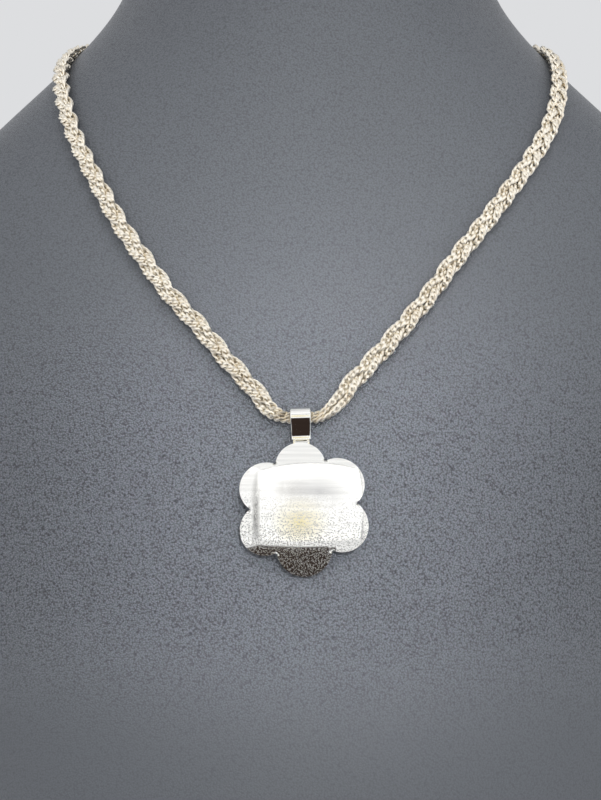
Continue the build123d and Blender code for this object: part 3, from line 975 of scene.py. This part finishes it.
def softbox_card(name, across, height, half_width, half_height, gap, material):
    """A card just before the softbox, across and up from its middle, that shows in reflections only."""
    side, up, back = facing(SOFTBOX_PLACE, SOFTBOX_AIM)
    middle = np.array(SOFTBOX_PLACE) + side * across + up * height - back * gap
    seen_in_gloss_only(stage_plane(name, middle, side * half_width, up * half_height, material))


class NECKLACE_OT_studio(bpy.types.Operator):
    """Adds the floor, the world, the lamps, the cards that the silver mirrors, and the camera."""

    bl_idname = "necklace.studio"
    bl_label = "Studio"

    def execute(self, context):
        looks = context.scene.necklace_looks
        context.scene.view_settings.view_transform = "Standard"
        floor = pale_paper("matt_white_paper", looks.floor_colour, 0.7)
        stage_plane("studio_floor", (0, 0, -FLOOR_DROP), (FLOOR_HALF, 0, 0), (0, FLOOR_HALF, 0), floor)
        velvet = black_cloth()
        flag = stage_plane("black_flag", FLAG_PLACE, (FLAG_HALF[0], 0, 0), (0, FLAG_HALF[1], 0), velvet)
        seen_in_gloss_only(flag)
        world = bpy.data.worlds.new("studio_world")
        context.scene.world = world
        world.use_nodes = True
        world.node_tree.nodes["Background"].inputs["Color"].default_value = linear(WORLD_COLOUR)
        area_light("softbox_front", SOFTBOX_PLACE, SOFTBOX_AIM, SOFTBOX_SIZE, looks.softbox_power)
        for name, *places in FRAMES:
            softbox_card(name, *places, FRAME_GAP, velvet)
        for colour, name, *places in GELS:
            softbox_card(name, *places, GEL_GAP, tinted_gel(name, colour))
        for name, place, size, share in STRIPS:
            area_light(name, place, SOFTBOX_AIM, size, looks.softbox_power * share)
        for name, place, aim, size, share, spread in CHEST_LAMPS:
            lamp = area_light(name, place, aim, size, looks.fill_power * share, spread)
            lamp.visible_glossy = False
        camera_data = bpy.data.cameras.new("camera")
        camera_data.sensor_width = CAMERA_SENSOR
        camera_data.lens = CAMERA_SENSOR * FRAMED_DISTANCE / FRAMED_HEIGHT
        camera_data.clip_start = NEAREST_SEEN * MM
        camera = bpy.data.objects.new("camera", camera_data)
        camera.location = [along * MM for along in CAMERA_PLACE]
        camera.rotation_euler = (pi / 2, 0, 0)
        context.scene.collection.objects.link(camera)
        context.scene.camera = camera
        return {"FINISHED"}


class NECKLACE_PT_panel(bpy.types.Panel):
    """Lists the pieces and their sizes."""

    bl_idname = "NECKLACE_PT_panel"
    bl_label = "Flower pendant"
    bl_space_type = "VIEW_3D"
    bl_region_type = "UI"
    bl_category = "Necklace"

    def draw(self, context):
        for piece in PIECES:
            self.layout.operator(piece.bl_idname)
        for group in (context.scene.necklace_sizes, context.scene.necklace_looks):
            box = self.layout.box()
            for name in group.__annotations__:
                box.prop(group, name)


PIECES = (NECKLACE_OT_bust, NECKLACE_OT_chain, NECKLACE_OT_pendant, NECKLACE_OT_clasp, NECKLACE_OT_studio)
CLASSES = (NecklaceSizes, NecklaceLooks, *PIECES, NECKLACE_PT_panel)


def register():
    for made in CLASSES:
        bpy.utils.register_class(made)
    bpy.types.Scene.necklace_sizes = PointerProperty(type=NecklaceSizes)
    bpy.types.Scene.necklace_looks = PointerProperty(type=NecklaceLooks)


def unregister():
    del bpy.types.Scene.necklace_looks
    del bpy.types.Scene.necklace_sizes
    for made in reversed(CLASSES):
        bpy.utils.unregister_class(made)


def main():
    """Makes every piece and the studio."""
    register()
    bpy.ops.necklace.bust()
    bpy.ops.necklace.chain()
    bpy.ops.necklace.pendant()
    bpy.ops.necklace.clasp()
    bpy.ops.necklace.studio()


if __name__ == "__main__":
    main()
